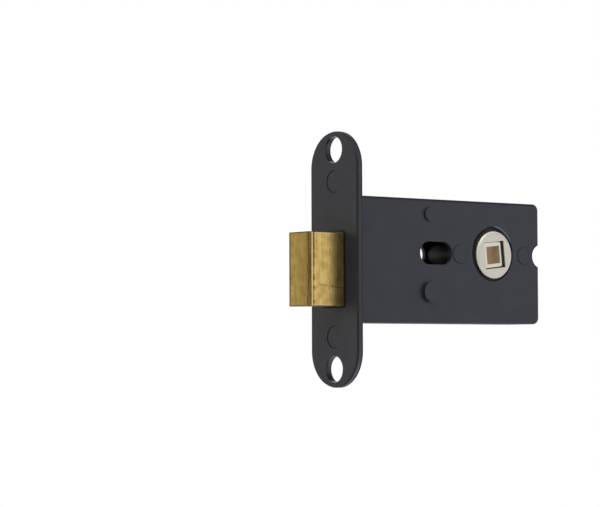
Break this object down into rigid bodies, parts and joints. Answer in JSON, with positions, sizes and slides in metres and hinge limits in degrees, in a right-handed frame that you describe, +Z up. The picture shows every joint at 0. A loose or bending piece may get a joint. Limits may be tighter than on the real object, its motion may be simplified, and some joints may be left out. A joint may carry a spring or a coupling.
{
  "type": "box deadbolt",
  "caption": "Cased mortice deadbolt: black painted steel case and round-ended forend, brass bolt thrown by a spindle follower, with through slots for fixing bolts.",
  "frame": {"origin": "centre of the forend's front face, midway between its screw holes", "axes": "+X into the door along the backset, +Y across the case from the tray to the cap, +Z up"},
  "size_m": [0.089, 0.0212, 0.0742],
  "materials": {
    "black_paint": "satin black paint on steel",
    "brass": "drawn brass with fine brushing",
    "plain_steel": "plain bright steel",
    "nickel": "dull nickel plate",
    "bush_metal": "plated sleeve, brown inside",
    "nylon": "black moulded nylon",
    "spring_steel": "tempered strip"
  },
  "bodies": {
    "case": {"forend": "black_paint", "case_tray": "black_paint", "case_cap": "black_paint", "forend_rivets": "black_paint", "middle_stay": "black_paint", "rear_stay": "black_paint", "upper_post": "black_paint", "lower_post": "black_paint", "cap_screws": "black_paint", "near_bearing": "nylon", "far_bearing": "nylon", "detent_spring": "spring_steel"},
    "bolt": {"bolt_head": "brass", "bolt_tail": "plain_steel", "tail_rivets": "plain_steel"},
    "follower": {"follower_hub": "nickel", "spindle_bush": "bush_metal"}
  },
  "joints": [
    {"name": "follower_turn", "type": "hinge", "parent": "case", "child": "follower", "pos_m": [0.057, 0, 0.0024], "axis": [0, -1, 0], "range_deg": [0, 78], "deforming": ["detent_spring"]},
    {"name": "bolt_slide", "type": "slide", "parent": "case", "child": "bolt", "axis": [1, 0, 0], "range_m": [0, 0.013]}
  ],
  "couplings": [
    {"joint": "follower_turn", "follows": "bolt_slide", "rad_per_m": 104.72}
  ]
}
